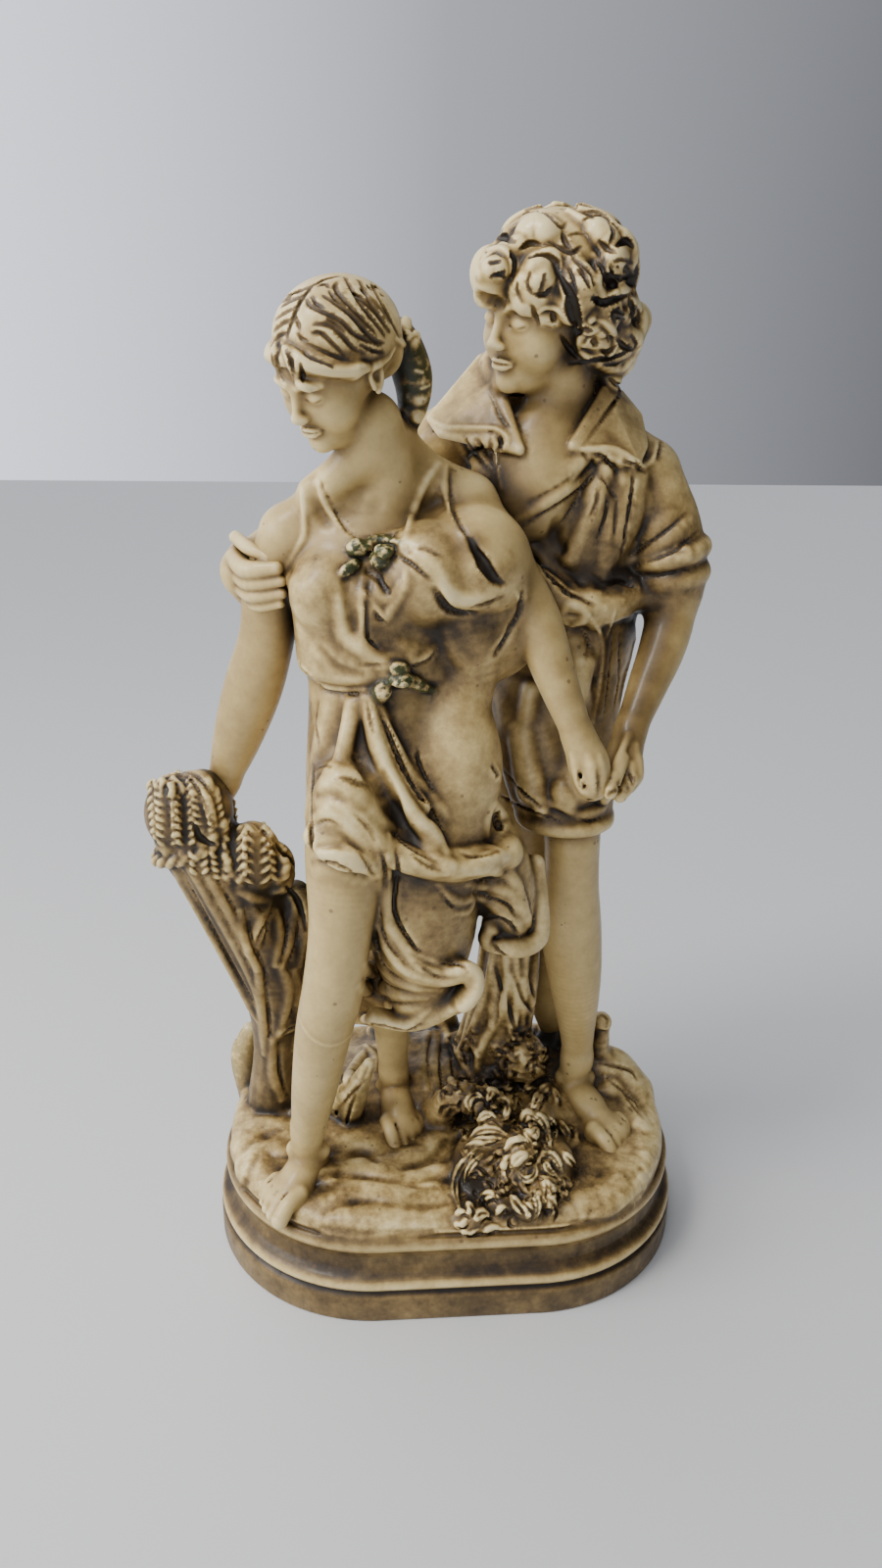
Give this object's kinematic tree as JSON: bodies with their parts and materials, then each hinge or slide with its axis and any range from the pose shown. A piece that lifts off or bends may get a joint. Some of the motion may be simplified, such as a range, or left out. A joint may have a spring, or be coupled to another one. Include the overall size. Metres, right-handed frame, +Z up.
{
  "type": "figurine of a couple",
  "caption": "Cast chalkware figurine of a young couple in country dress beside a wheat sheaf, on a low moulded oval plinth with antique brown wash.",
  "frame": {"origin": "centre of the plinth's flat underside", "axes": "+Z up; front of the group towards -Y; +X to the viewer's right; the plinth's long axis along X"},
  "size_m": [0.2938, 0.183, 0.5527],
  "materials": {
    "painted_chalk": "glossy ivory chalkware with a wiped brown antique wash"
  },
  "bodies": {
    "root": {"couple_group": "painted_chalk"}
  },
  "joints": []
}
